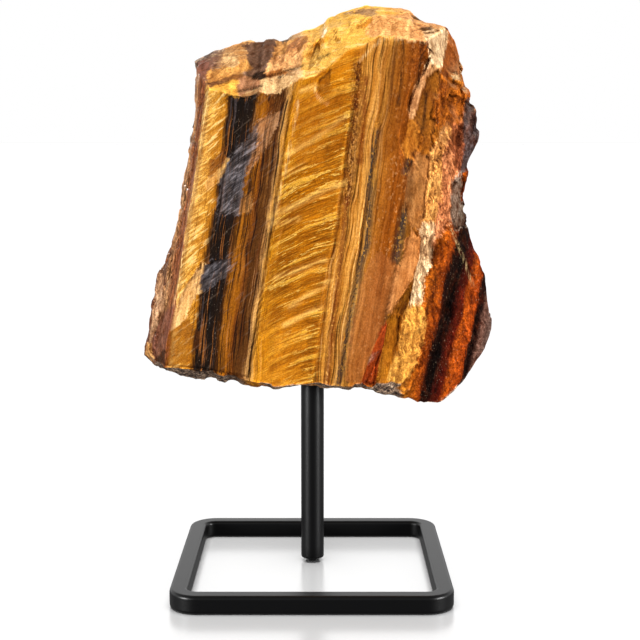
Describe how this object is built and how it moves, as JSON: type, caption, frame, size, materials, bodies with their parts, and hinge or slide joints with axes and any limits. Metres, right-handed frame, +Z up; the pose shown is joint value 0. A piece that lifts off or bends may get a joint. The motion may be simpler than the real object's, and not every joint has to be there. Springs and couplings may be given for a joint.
{
  "type": "rough tigers eye",
  "caption": "Rough block of banded, silky brown and golden stone with broken edges, glued on a slim black post over an open rounded-square steel base.",
  "frame": {"origin": "on the table, in the middle of the base", "axes": "+Z up, -Y towards the viewer of the stone's front face, +X to the right seen from the front"},
  "size_m": [0.0973, 0.075, 0.1582],
  "materials": {
    "tigers_eye": "broken quartz with layered silky fibres in gold, brown, black and red; silky sheen, rough sides",
    "black_powder_coat": "black powder coat, semi-gloss, fine grain"
  },
  "bodies": {
    "root": {"stone": "tigers_eye", "post": "black_powder_coat", "support_rod": "black_powder_coat", "base_ring": "black_powder_coat"}
  },
  "joints": []
}
